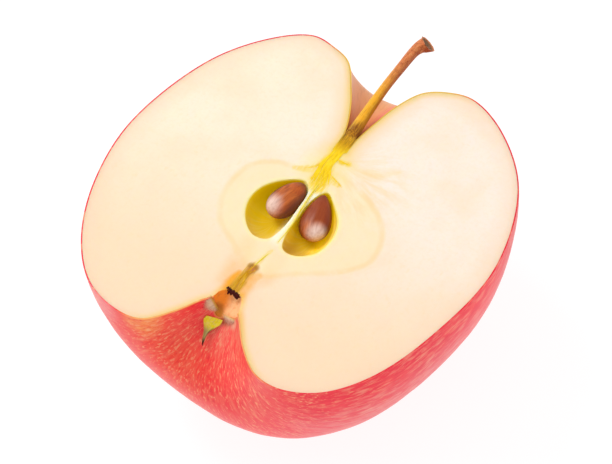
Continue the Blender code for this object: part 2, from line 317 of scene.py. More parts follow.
class CalyxSettings(bpy.types.PropertyGroup):
    green: colour("Green", "Fresh part of the middle leaf", 228, 210, 4)
    grey: colour("Grey", "Downy, dried part of a leaf", 236, 200, 164)
    dark: colour("Dark", "Shrivelled tip of the middle leaf", 62, 24, 14)
    cup: colour("Cup", "Lining of the calyx cup", 250, 190, 138)


class StageSettings(bpy.types.PropertyGroup):
    floor: colour("Floor", "Colour of the floor", 120, 120, 120)
    floor_glow: FloatProperty(name="Floor glow", description="White light from the floor", default=0.88)
    camera_distance: size("Camera distance", "From the core to the camera", 1000.0)
    camera_turn: angle("Camera turn", "Round the fruit, from the calyx end", 39.97)
    camera_tilt: angle("Camera tilt", "How far the camera looks down", 53.23)
    camera_roll: angle("Camera roll", "About the line of sight", -9.28)
    focal_length: FloatProperty(name="Focal length", description="In millimetres", default=329.4)


class FruitSettings(bpy.types.PropertyGroup):
    flesh: group("Flesh", FleshSettings)
    skin: group("Skin", SkinSettings)
    seed: group("Seeds", SeedSettings)
    stalk: group("Stalk", StalkSettings)
    calyx: group("Calyx", CalyxSettings)
    stage: group("Stage", StageSettings)


class Wire:
    """An output socket. Arithmetic on it adds Math nodes; wire["X"] is another output of the same node."""

    def __init__(self, nodes, socket):
        self.nodes = nodes
        self.socket = socket

    def __getitem__(self, name):
        return Wire(self.nodes, pick(self.socket.node.outputs, name))

    def maths(self, operation, *values):
        return self.nodes.node("ShaderNodeMath", {"operation": operation}, dict(enumerate(values)))

    def __add__(self, other):
        return self.maths("ADD", self, other)

    def __sub__(self, other):
        return self.maths("SUBTRACT", self, other)

    def __rsub__(self, other):
        return self.maths("SUBTRACT", other, self)

    def __mul__(self, other):
        return self.maths("MULTIPLY", self, other)

    __radd__ = __add__
    __rmul__ = __mul__

    def __abs__(self):
        return self.maths("ABSOLUTE", self)

    def step(self, low, high):
        """0 below low and 1 above high, with a soft change between; low may be the larger of the two."""
        inputs = {"Value": self, "From Min": low, "From Max": high}
        return self.nodes.node("ShaderNodeMapRange", {"interpolation_type": "SMOOTHSTEP"}, inputs)


def pick(sockets, key):
    if isinstance(key, int):
        return sockets[key]
    return next(socket for socket in sockets if socket.enabled and key in (socket.name, socket.identifier))


class Nodes:
    """The node tree of a material or a world, built node by node."""

    def __init__(self, owner):
        self.owner = owner
        owner.use_nodes = True
        owner.node_tree.nodes.clear()

    def node(self, kind, settings, inputs):
        """Adds a node, sets its settings, then its sockets to values or links; returns its first output."""
        tree = self.owner.node_tree
        made = tree.nodes.new(kind)
        for name, value in settings.items():
            if name == "stops":
                self.set_stops(made.color_ramp, value)
            else:
                setattr(made, name, value)
        for key, value in inputs.items():
            socket = pick(made.inputs, key)
            if isinstance(value, Wire):
                tree.links.new(value.socket, socket)
            elif socket.type == "RGBA":
                socket.default_value = (*value, 1)
            else:
                socket.default_value = value
        shown = [socket for socket in made.outputs if socket.enabled]
        return Wire(self, shown[0]) if shown else None

    def set_stops(self, ramp, stops):
        while len(ramp.elements) < len(stops):
            ramp.elements.new(1)
        for element, (position, shade) in zip(ramp.elements, stops):
            element.position = position
            element.color = (*shade, 1)

    def vector(self, operation, *values, **named):
        inputs = {**dict(enumerate(values)), **named}
        return self.node("ShaderNodeVectorMath", {"operation": operation}, inputs)

    def join(self, x, y, z):
        return self.node("ShaderNodeCombineXYZ", {}, {"X": x, "Y": y, "Z": z})

    def mix(self, share, first, second, blend="MIX"):
        settings = {"data_type": "RGBA", "blend_type": blend}
        return self.node("ShaderNodeMix", settings, {"Factor": share, "A": first, "B": second})

    def layers(self, shade, *coats):
        """Lays colours over a shade in turn. Each coat is where it lies, from 0 to 1, and its colour."""
        for share, over in coats:
            shade = self.mix(share, shade, over)
        return shade

    def noise(self, place, scale, detail=3.0, roughness=0.5, distortion=0.0):
        """Soft noise from 0 to 1 whose lumps are about 1 / scale millimetres across."""
        inputs = {"Vector": place, "Scale": scale, "Detail": detail, "Roughness": roughness,
                  "Distortion": distortion}
        return self.node("ShaderNodeTexNoise", {}, inputs)


class Look(Nodes):
    """A material, with positions in millimetres in the core's frame."""

    def __init__(self, name):
        super().__init__(bpy.data.materials.new(name))
        place = self.node("ShaderNodeTexCoord", {}, {})["Object"]
        self.place = self.vector("SCALE", place, Scale=1 / MM)
        axes = self.node("ShaderNodeSeparateXYZ", {}, {"Vector": self.place})
        self.x, self.y, self.z = axes["X"], axes["Y"], axes["Z"]

    def attribute(self, name):
        return self.node("ShaderNodeAttribute", {"attribute_name": name}, {})["Fac"]

    def far(self, x, y, z=0.0):
        """Distance from a point, in millimetres."""
        return self.vector("DISTANCE", self.place, (x, y, z))["Value"]

    def drawn_noise(self, sideways, lengthways, detail, roughness, distortion=0.0):
        """Noise drawn out along the core line, by lumps per millimetre across and along it."""
        place = self.join(self.x * sideways, self.y * lengthways, self.z * sideways)
        return self.noise(place, 1.0, detail, roughness, distortion)

    def rays(self, x, y, waver):
        """Noise drawn out along spokes from a point in the cut face, which waver a little as they go."""
        spoke = self.vector("NORMALIZE", self.join(x, y, 0.0))
        place = self.vector("ADD", spoke, self.vector("SCALE", self.place, Scale=waver))
        return self.noise(place, 7.0, 3.0, 0.6)

    def bump(self, height, strength, distance=MM):
        inputs = {"Height": height, "Strength": strength, "Distance": distance}
        return self.node("ShaderNodeBump", {}, inputs)

    def finish(self, **sockets):
        """Adds the surface shader. Socket names are written with underscores for spaces."""
        inputs = {name.replace("_", " "): value for name, value in sockets.items()}
        surface = self.node("ShaderNodeBsdfPrincipled", {}, inputs)
        self.node("ShaderNodeOutputMaterial", {}, {"Surface": surface})
        return self.owner


def lerp(first, second, low, high, t):
    share = (t - low) / (high - low)
    return first * (1 - share) + second * share


def hump(distance, width):
    """A smooth bell: 1 at no distance, and nearly 0 from twice the width on."""
    return np.exp(-((distance / width) ** 2))


def walked(line):
    """How far along a line of points each one lies."""
    return np.concatenate([[0], np.cumsum(np.linalg.norm(np.diff(line, axis=0), axis=1))])


def along_curve(points, places):
    """Points at these places on a smooth curve through the given points, counted from 0 at the first."""
    points = np.asarray(points, float)
    places = np.clip(np.asarray(places, float), 0, len(points) - 1)
    padded = np.vstack([2 * points[0] - points[1], points, 2 * points[-1] - points[-2]])
    index = np.minimum(places.astype(int), len(points) - 2)
    chain = [padded[index + k] for k in range(4)]
    knots = [np.zeros((len(places), 1))]
    for first, second in zip(chain, chain[1:]):
        knots.append(knots[-1] + np.sqrt(np.linalg.norm(second - first, axis=1, keepdims=True)))
    t = knots[1] + (knots[2] - knots[1]) * (places - index)[:, None]
    pairs = [lerp(chain[k], chain[k + 1], knots[k], knots[k + 1], t) for k in range(3)]
    halves = [lerp(pairs[k], pairs[k + 1], knots[k], knots[k + 2], t) for k in range(2)]
    return lerp(halves[0], halves[1], knots[1], knots[2], t)


def values_along(values, places):
    """The same smooth curve through single values."""
    return along_curve(list(enumerate(values)), places)[:, 1]


def round_curve(points, steps):
    """A closed smooth curve through the points, with this many steps between neighbours."""
    looped = [*points[-2:], *points, *points[:3]]
    return along_curve(looped, 2 + np.arange(len(points) * steps) / steps)


def back_surface(places, angles):
    """Points of the round back, by places on the outline and angles round the core line from the right."""
    left, right = (along_curve([row[side] for row in OUTLINE], places)[:, None] * MM for side in (0, 1))
    turn = np.asarray(angles, float)[None, :]
    share = (1 + np.cos(turn)) / 2
    y = share * right[..., 1] + (1 - share) * left[..., 1]
    middle = (left[..., 0] + right[..., 0]) / 2
    along = y / HALF_HEIGHT
    lean = -TWIST * along * np.cos(turn)
    crown = LOBE_DEPTH * hump(y + HALF_HEIGHT, LOBE_REACH) * np.cos(5 * turn)
    radius = (right[..., 0] - left[..., 0]) / 2 * (1 + np.sin(turn) * (lean + crown))
    z = -radius * np.sin(turn) * (1 - DEPTH_TAPER * along)
    return np.stack([middle + radius * np.cos(turn), y, z], axis=-1)


def outward(surface):
    """Unit normals of a grid of points from back_surface, pointing out of the fruit."""
    normals = np.cross(np.gradient(surface, axis=0), np.gradient(surface, axis=1))
    return normals / np.maximum(np.linalg.norm(normals, axis=-1, keepdims=True), 1e-12)


def swollen_back(places, angles, swell):
    """The round back with its slow unevenness, which fades out towards the cut face, and its normals."""
    surface = back_surface(places, angles)
    normals = outward(surface)
    fade = np.minimum(1, -surface[..., 2] / SWELL_FADE)
    rise = np.array([sum(share * noise.noise(Vector(point) * lumps) for lumps, share in SWELL_LUMPS)
                     for point in surface.reshape(-1, 3)]).reshape(surface.shape[:2])
    surface = surface + normals * (rise * fade * swell)[..., None]
    return surface, normals


def inset(surface, normals, depth):
    """The surface moved in by depth, kept in the cut plane at both cut edges and clear of the rest spot."""
    moved = surface - normals * depth
    moved[:, 0, 2] = 0
    moved[:, -1, 2] = 0
    moved[..., 2] = np.clip(moved[..., 2], depth - CORE.z, 0)
    return moved


def grid_faces(rows, columns, first=0, flip=False, closed=False):
    """Quads over a grid of points that were added row by row from index first."""
    faces = []
    for i in range(rows - 1):
        row = first + i * columns
        for j in range(columns if closed else columns - 1):
            k = (j + 1) % columns
            quad = (row + j, row + k, row + columns + k, row + columns + j)
            faces.append(quad[::-1] if flip else quad)
    return faces


def fan(first, count, centre, flip=False, closed=True):
    """Triangles from a row or ring of points, numbered from first, to a centre point."""
    faces = []
    for k in range(count if closed else count - 1):
        here = first + k
        following = first + (k + 1) % count
        faces.append((following, here, centre) if flip else (here, following, centre))
    return faces


def shell_faces(rows, columns):
    """A thin shell: two equal grids of points, one after the other, and the rim that joins them."""
    count = rows * columns
    faces = grid_faces(rows, columns) + grid_faces(rows, columns, count, flip=True)
    number = np.arange(count).reshape(rows, columns)
    rim = np.concatenate([number[0], number[1:, -1], number[-1, -2::-1], number[-2:0:-1, 0]]).tolist()
    return faces + [(b, a, a + count, b + count) for a, b in zip(rim, rim[1:] + rim[:1])]


def add_piece(name, points, faces, looks, stands_for, look_of_face=None, sharp=60.0, marks=None):
    """Makes the mesh object, stands it in the core's frame, hangs it on the root body and hides the CAD parts
    it stands for.
    """
    data = bpy.data.meshes.new(name)
    data.from_pydata([tuple(point) for point in points], [], faces)
    if data.validate():
        raise RuntimeError(f"{name} holds faces that are not valid")
    for look in looks:
        data.materials.append(look)
    if look_of_face is not None:
        data.polygons.foreach_set("material_index", look_of_face)
    shape = bmesh.new()
    shape.from_mesh(data)
    bmesh.ops.recalc_face_normals(shape, faces=shape.faces)
    shape.to_mesh(data)
    shape.free()
    data.shade_smooth()
    data.set_sharp_from_angle(angle=math.radians(sharp))
    for mark, values in (marks or {}).items():
        data.attributes.new(mark, "FLOAT", "POINT").data.foreach_set("value", values)
    piece = bpy.data.objects.new(name, data)
    bpy.context.scene.collection.objects.link(piece)
    piece.location = CORE
    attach(piece, "root")
    if stands_for:
        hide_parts(*stands_for)
    return piece


def inside(points, loop):
    """Which of the points lie inside a closed loop."""
    x, y = points[:, 0], points[:, 1]
    found = np.zeros(len(points), bool)
    for (ax, ay), (bx, by) in zip(loop, np.roll(loop, -1, axis=0)):
        if ay != by:
            crosses = (ay > y) != (by > y)
            found ^= crosses & (x < (bx - ax) * (y - ay) / (by - ay) + ax)
    return found


def between(points, outline, rims):
    """Which of the points lie inside the outline and outside every rim."""
    found = inside(points, outline)
    for rim in rims:
        found &= ~inside(points, rim)
    return found


def nearest(points, targets):
    """Each point's distance from the nearest target and that target's number, seen along Z."""
    tree = kdtree.KDTree(len(targets))
    for index, target in enumerate(targets):
        tree.insert((target[0], target[1], 0), index)
    tree.balance()
    found = [tree.find((point[0], point[1], 0)) for point in points]
    return np.array([spot[2] for spot in found]), np.array([spot[1] for spot in found])


def painted(points, lines, fade=1.0):
    """How strongly soft lines colour each point, from 0 to 1. A larger fade makes their sides softer."""
    strength = np.zeros(len(points))
    for rows, weight in lines:
        samples = along_curve(rows, np.linspace(0, len(rows) - 1, 30 * len(rows)))
        distance, index = nearest(points, samples)
        share = np.clip(1 + (0.6 - distance / samples[index, 2]) / fade, 0, 1)
        strength = np.maximum(strength, weight * share * share * (3 - 2 * share))
    return strength


def hex_grid(low, high, spacing):
    columns = np.arange(low[0], high[0], spacing)
    rows = np.arange(low[1], high[1], spacing * math.sqrt(3) / 2)
    x, y = np.meshgrid(columns, rows)
    x = x + (np.arange(len(rows)) % 2)[:, None] * spacing / 2
    return np.column_stack([x.ravel(), y.ravel()])


def face_points(outline, rims, spacing, core_spacing):
    """Points inside the cut face, closer together round the core and never on its lines."""
    coarse = hex_grid(outline.min(axis=0), outline.max(axis=0), spacing)
    low, high = np.array(CORE_AREA)
    in_core = ((coarse > low) & (coarse < high)).all(axis=1)
    points = np.vstack([coarse[~in_core], hex_grid(low, high, core_spacing)])
    points = points[between(points, outline, rims)]
    return points[nearest(points, np.vstack([outline, *rims]))[0] > core_spacing * 0.5]


def chamber_bowl(rim, deepest, depth, first):
    """A bowl that turns over a soft lip at its rim: its points from the rim down, and its faces."""
    centre = np.array(deepest)
    reach = np.linalg.norm(rim - centre, axis=1, keepdims=True)
    # Steep all round but for the right chamber's right side, which runs out gently.
    bend = CHAMBER_BEND * (1 + np.clip((rim[:, :1] - GENTLE_SIDE[0]) / GENTLE_SIDE[1], 0, 1))
    rings = [np.hstack([rim, np.zeros_like(reach)])]
    for level in range(1, CHAMBER_RINGS):
        turn = math.pi / 2 * level / CHAMBER_RINGS
        lip = CHAMBER_LIP * (1 - math.exp(-CHAMBER_LIP_EASE * turn))
        flat = centre + (rim - centre) * math.cos(turn) ** CHAMBER_SPREAD * (1 - lip / reach)
        rings.append(np.hstack([flat, -depth * math.sin(turn) ** bend]))
    count = len(rim)
    last = first + (len(rings) - 1) * count
    faces = grid_faces(len(rings), count, first, closed=True) + fan(last, count, last + count)
    return [*np.vstack(rings), np.array([*centre, -depth])], faces


FLESH, LINING, CUP = range(3)


def flesh_back(skin):
    """The flesh's round side and cup: points, faces, the look of each face, and the cut face's outline."""
    places = np.arange((len(OUTLINE) - 1) * RINGS_PER_SPAN + 1) / RINGS_PER_SPAN
    surface, normals = swollen_back(places, np.linspace(0, math.pi, FLESH_SEGMENTS + 1), skin.swell)
    back = inset(surface, normals, skin.thickness + SKIN_GAP) / MM
    rows, columns = back.shape[:2]
    points = [*back.reshape(-1, 3)]
    faces = grid_faces(rows, columns)
    looks = [CUP if places[i // (columns - 1)] >= CUP_LINING else FLESH for i in range(len(faces))]
    ends = []
    for first, flip, look in ((0, True, FLESH), ((rows - 1) * columns, False, CUP)):
        ends.append(len(points))
        points.append((points[first] + points[first + columns - 1]) / 2)
        faces += fan(first, columns, ends[-1], flip, closed=False)
        looks += [look] * (columns - 1)
    right_edge = range(0, rows * columns, columns)
    left_edge = range(rows * columns - 1, 0, -columns)
    return points, faces, looks, [ends[0], *right_edge, ends[1], *left_edge]


def cut_face(points, loops, settings):
    """New points inside the cut face, and the triangles that fill it round the chambers' rims."""
    flat = np.array([point[:2] for point in points])
    outline, *rims = (flat[loop] for loop in loops)
    inner = face_points(outline, rims, settings.grid / MM, settings.core_grid / MM)
    corners = [Vector(spot) for spot in np.vstack([outline, *rims, inner])]
    edges = []
    for loop in loops:
        start = len(edges)
        edges += [(start + j, start + (j + 1) % len(loop)) for j in range(len(loop))]
    spots, _, triangles, origins, _, _ = delaunay_2d_cdt(corners, edges, [], 0, 1e-6)
    if any(not origin for origin in origins):
        raise RuntimeError("the cut face's lines cross each other")
    known = [*(index for loop in loops for index in loop), *range(len(points), len(points) + len(inner))]
    number = [known[origin[0]] for origin in origins]
    middles = np.array([sum((spots[k] for k in triangle), Vector((0, 0))) / 3 for triangle in triangles])
    kept = between(middles, outline, rims)
    faces = [tuple(number[k] for k in triangle) for triangle, keep in zip(triangles, kept) if keep]
    return [np.array([x, y, 0.0]) for x, y in inner], faces


def flesh_mesh(settings, skin):
    """Points in millimetres, faces, their looks and the number of the first point inside the cut face."""
    points, faces, looks, outline = flesh_back(skin)
    loops = [outline]
    for rim, deepest in CHAMBERS.values():
        rim = round_curve(rim, CHAMBER_RIM_STEPS)
        first = len(points)
        loops.append(list(range(first, first + len(rim))))
        bowl, walls = chamber_bowl(rim, deepest, settings.chamber_depth / MM, first)
        points += bowl
        faces += walls
        looks += [LINING] * len(walls)
    inner, triangles = cut_face(points, loops, settings)
    return np.array(points + inner), faces + triangles, looks + [FLESH] * len(triangles), len(points)


def flesh_marks(points):
    """What the flesh's look reads at each point: distances in millimetres, and soft lines from 0 to 1."""
    samples = np.linspace(0, len(OUTLINE) - 1, OUTLINE_SAMPLES)
    edge = np.vstack([along_curve([row[side] for row in OUTLINE], samples) for side in (0, 1)])
    rims = np.vstack([round_curve(rim, RIM_STEPS) for rim, _ in CHAMBERS.values()])
    loop = round_curve(CORE_LOOP, LOOP_STEPS)
    marks = {
        "to_skin": nearest(points, edge)[0],
        "to_chamber": nearest(points, rims)[0],
        "to_loop": nearest(points, loop)[0],
        "yellow": painted(points, YELLOW_LINES),
        "orange": painted(points, ORANGE_LINES, 3.0),
        "bundle": painted(points, BUNDLE_LINES),
    }
    side = np.where(inside(points[:, :2], loop), 1, -1)
    marks["in_loop"] = side * np.minimum(marks["to_loop"], 1) / 2 + 0.5
    return marks


def settle_cut_face(points, first_inner, marks):
    """Gives the cut face its shallow relief: knife waves, a ridge over the vessels, raised chamber lips."""
    for index in range(first_inner, len(points)):
        place = Vector((points[index][0], points[index][1], 0))
        to_chamber = marks["to_chamber"][index]
        fade = min(1, marks["to_skin"][index] / FLAT_BY_SKIN, to_chamber / FLAT_BY_CHAMBER)
        wave = sum(height * noise.noise(place * waves) for height, waves in KNIFE_WAVES)
        vessel = VESSEL_RIDGE[0] * hump(marks["to_loop"][index], VESSEL_RIDGE[1])
        lip = RIM_RIDGE[0] * hump(to_chamber - RIM_RIDGE[2], RIM_RIDGE[1])
        points[index][2] = (wave - FACE_DROP + vessel + lip) * fade


def flesh_look(settings):
    """Pale flesh, yellower inside the core line, with the vessels and browned strands of the marks."""
    look = Look("apple flesh")
    x, y = look.x, look.y
    to_skin, to_loop, to_chamber = (look.attribute(f"to_{name}") for name in ("skin", "loop", "chamber"))
    yellow, bundle = look.attribute("yellow"), look.attribute("bundle")
    aside = abs(x)
    soft = look.noise(look.place, 0.09, 3.0, 0.55)
    cloud = look.noise(look.place, 0.32, 4.0, 0.6)
    flecks = look.noise(look.join(x, y * 0.6, 0.0), 0.9, 3.0, 0.6)
    grain = look.noise(look.place, 1.4, 3.0, 0.65)
    fibres = look.noise(look.join(x * 2.6, y * 0.35, 0.0), 1.0, 4.0, 0.6, 0.5)
    ring = to_loop.step(0.9, 0.1) * cloud.step(0.2, 0.5)
    rays = look.rays(x + 0.6, y - 13.0, 0.03)
    fanned = look.far(8.0, 10.5).step(12.5, 2.0) * x.step(-0.5, 2.5) * rays.step(0.35, 0.7)
    in_basin = aside.step(17.0, 9.0)
    beside_pit = to_skin.step(4.5, 0.0) * y.step(33.0, 24.0) * y.step(10.0, 14.0) * in_basin
    under_stalk = look.far(-0.6, 11.5).step(7.0, 1.5)
    halo = look.attribute("orange") * (cloud.step(0.2, 0.6) * 0.4 + 0.6) * (y.step(-11.5, -15.5) * 0.6 + 0.4)
    wall = aside.step(1.5, 0.7) * y.step(-8.5, -6.0) * y.step(8.0, 6.0)
    upper = look.mix(x.step(-22.0, 8.0), settings.cream, linear(252, 236, 221))
    base = look.layers(
        look.mix(y.step(14.0, -26.0), upper, settings.peach),
        (soft.step(0.4, 0.7) * 0.4, settings.peach),
        (flecks.step(0.56, 0.74) * y.step(20.0, -5.0) * 0.22, linear(250, 212, 150)),
        (grain.step(0.42, 0.75) * 0.2, linear(248, 214, 168)),
        (look.attribute("in_loop") * (cloud * 0.6 + 0.3), settings.butter),
        (ring * (soft.step(0.35, 0.65) * 0.2 + 0.15), settings.vein),
        (fanned * 0.5, linear(250, 212, 150)),
        # Warmer under the skin, partly the flesh's own tint and partly painted shade at the rim, and yellow
        # along both basins.
        (to_skin.step(5.5, 0.0) * 0.45, linear(252, 212, 182)),
        (to_skin.step(1.6, 0.1) * 0.5, linear(252, 204, 168)),
        (beside_pit * 0.45, linear(248, 212, 146)),
        (to_skin.step(1.8, 0.0) * in_basin * 0.75, linear(248, 208, 108)),
        (under_stalk * (cloud * 0.7 + 0.15), linear(254, 224, 120)),
        (halo, look.mix(y.step(-14.0, 0.0), linear(248, 168, 0), linear(252, 206, 90))),
        # Pale round the chambers, and paler in the wall between them.
        (to_chamber.step(0.9, 0.1) * 0.6, linear(253, 236, 170)),
        (wall * 0.8, linear(255, 249, 228)),
        # Yellow vessels under the stalk.
        (yellow * fibres.step(0.22, 0.55), linear(252, 212, 34)),
        (yellow * fibres.step(0.5, 0.8) * 0.6, linear(222, 182, 8)),
        # The browned bundle over the cup, darkest at its upper end.
        (bundle * fibres.step(0.1, 0.35), linear(224, 164, 6)),
        (bundle * fibres.step(0.42, 0.66) * 0.7, linear(190, 124, 8)),
        (bundle * look.far(-0.33, -14.4).step(1.2, 0.3) * 0.85, linear(192, 106, 44)),
        (bundle * look.far(-1.2, -13.5).step(0.9, 0.3) * 0.8, linear(148, 100, 8)),
        (bundle * look.far(0.3, -13.4).step(0.9, 0.3) * 0.8, linear(164, 108, 10)),
    )
    return look.finish(
        Base_Color=base,
        Roughness=0.55,
        Subsurface_Weight=0.35,
        Subsurface_Radius=(1.0, 0.55, 0.3),
        Subsurface_Scale=1.2 * MM,
        Specular_IOR_Level=0.35,
        Normal=look.bump(look.noise(look.place, 3.0, 4.0, 0.6), 0.12, 0.2 * MM),
    )


def lining_look(settings):
    """Translucent yellow lining of the seed chambers, browner below and on the right, pale at the rim, with
    painted light, shade and glow.
    """
    look = Look("chamber lining")
    x, y, z = look.x, look.y, look.z
    cloud = look.noise(look.place, 0.5, 3.0, 0.5)
    rays = look.rays(abs(x) - 4.2, y + 0.9, 0.02)
    shade = look.layers(
        settings.lining,
        (cloud.step(0.35, 0.8) * 0.4, linear(232, 196, 4)),
        (y.step(-1.5, -8.5), linear(226, 182, 80)),
        # Painted shade in the middle of the left chamber, and painted shade of the right seed over the right
        # chamber's lower half.
        (look.far(-4.2, -3.2, -3.6).step(4.0, 0.5) * 0.5, linear(214, 176, 26)),
        (x.step(0.5, 2.0) * y.step(-3.0, -7.0) * 0.75, linear(206, 148, 46)),
        # Painted light on the right chamber's right wall.
        (x.step(5.2, 7.8), linear(236, 198, 92)),
        (rays.step(0.42, 0.75) * y.step(2.0, -5.0) * 0.3, linear(236, 216, 136)),
        # Painted light on the wall between the chambers, which faces the light.
        (x.step(-3.4, -1.0) * x.step(0.5, 0.0), linear(252, 242, 196)),
    )
    # A painted glow lifts the whole lining, most where the right chamber's right wall lies in shade.
    glow_in_shade = x.step(4.0, 6.0) * y.step(-7.2, -4.0) * z.step(-0.2, -1.2)
    return look.finish(
        Base_Color=look.mix(z.step(-0.04, -0.35), linear(253, 228, 130), shade),
        Roughness=0.5,
        Specular_IOR_Level=0.15,
        Subsurface_Weight=0.5,
        Subsurface_Radius=(0.9, 0.9, 0.2),
        Subsurface_Scale=2.5 * MM,
        Emission_Color=look.mix(glow_in_shade, (0.05, 0.04, 0.0), (0.36, 0.23, 0.0)),
        Emission_Strength=1.0,
        Normal=look.bump(look.noise(look.place, 1.6, 3.0, 0.5), 0.15, 0.2 * MM),
    )


def cup_look(settings):
    """Folded calyx cup lining with a painted glow: orange and painted shade on the left, pink painted light
    on the right, brown painted shadow under the leaves.
    """
    look = Look("calyx cup lining")
    x = look.x
    cloud = look.noise(look.place, 1.1, 3.0, 0.6)
    folds = look.drawn_noise(1.6, 0.5, 4.0, 0.65, 0.6)
    shade = look.layers(
        settings.cup,
        # Orange on the left wall, deepened as painted shade; pink on the right wall as painted light.
        (x.step(-0.4, -2.0) * 0.95, linear(246, 130, 0)),
        (x.step(0.0, 1.6) * 0.7, linear(250, 186, 138)),
        (cloud.step(0.45, 0.7) * 0.45, linear(204, 104, 40)),
        (folds.step(0.5, 0.72) * x.step(-1.6, -0.2) * 0.5, linear(255, 220, 176)),
        # Painted shadow, in brown, under the leaves.
        (look.far(-2.1, -22.9, -2.3).step(1.5, 0.4) * 0.8, linear(140, 56, 0)),
        (look.far(-1.9, -23.6, -3.0).step(1.3, 0.5) * 0.8, linear(176, 100, 20)),
    )
    return look.finish(
        Base_Color=shade,
        Roughness=0.5,
        Specular_IOR_Level=0.15,
        # A painted glow lifts the whole cup.
        Emission_Color=(0.1, 0.05, 0.008),
        Emission_Strength=1.0,
        Normal=look.bump(folds, 0.6, 0.3 * MM),
    )


class FRUIT_OT_flesh(bpy.types.Operator):
    """Builds the flesh with its cut face, seed chambers and calyx cup"""

    bl_idname = "fruit.flesh"
    bl_label = "Flesh"

    def execute(self, context):
        fruit = context.scene.halved_fruit
        points, faces, look_of_face, first_inner = flesh_mesh(fruit.flesh, fruit.skin)
        marks = flesh_marks(points)
        settle_cut_face(points, first_inner, marks)
        looks = [flesh_look(fruit.flesh), lining_look(fruit.flesh), cup_look(fruit.calyx)]
        add_piece("flesh", points * MM, faces, looks, ["apple_half"], look_of_face, marks=marks)
        return {"FINISHED"}


def skin_shell(settings):
    """The skin's points, outer side first, its faces and what its look reads at each point."""
    places = np.arange(0, CUP_RIM + 1e-6, 1 / RINGS_PER_SPAN)
    angles = np.linspace(0, math.pi, SKIN_SEGMENTS + 1)
    surface, normals = swollen_back(places, angles, settings.swell)
    for j, turn in enumerate(angles):
        dip = CUP_DIP * hump(turn - CUP_DIP_ANGLE, CUP_DIP_WIDTH)
        share = 1 - dip / (CUP_RIM - CUP_DIP_START)
        shifted = np.where(places > CUP_DIP_START, CUP_DIP_START + (places - CUP_DIP_START) * share, places)
        for grid in (surface, normals):
            for axis in range(3):
                grid[:, j, axis] = np.interp(shifted, places, grid[:, j, axis])
    sides = [inset(surface, normals, depth).reshape(-1, 3) for depth in (0.0, settings.thickness)]
    profile = back_surface(places, [math.pi / 2])[:, 0] / MM
    lip = np.clip((places - CUP_RIM) / LIP_WIDTH + 1, 0, 1)
    marks = {name: np.tile(np.repeat(values, len(angles)), 2)
             for name, values in (("walked", walked(profile)), ("lip", lip))}
    return np.vstack(sides), shell_faces(len(places), len(angles)), marks


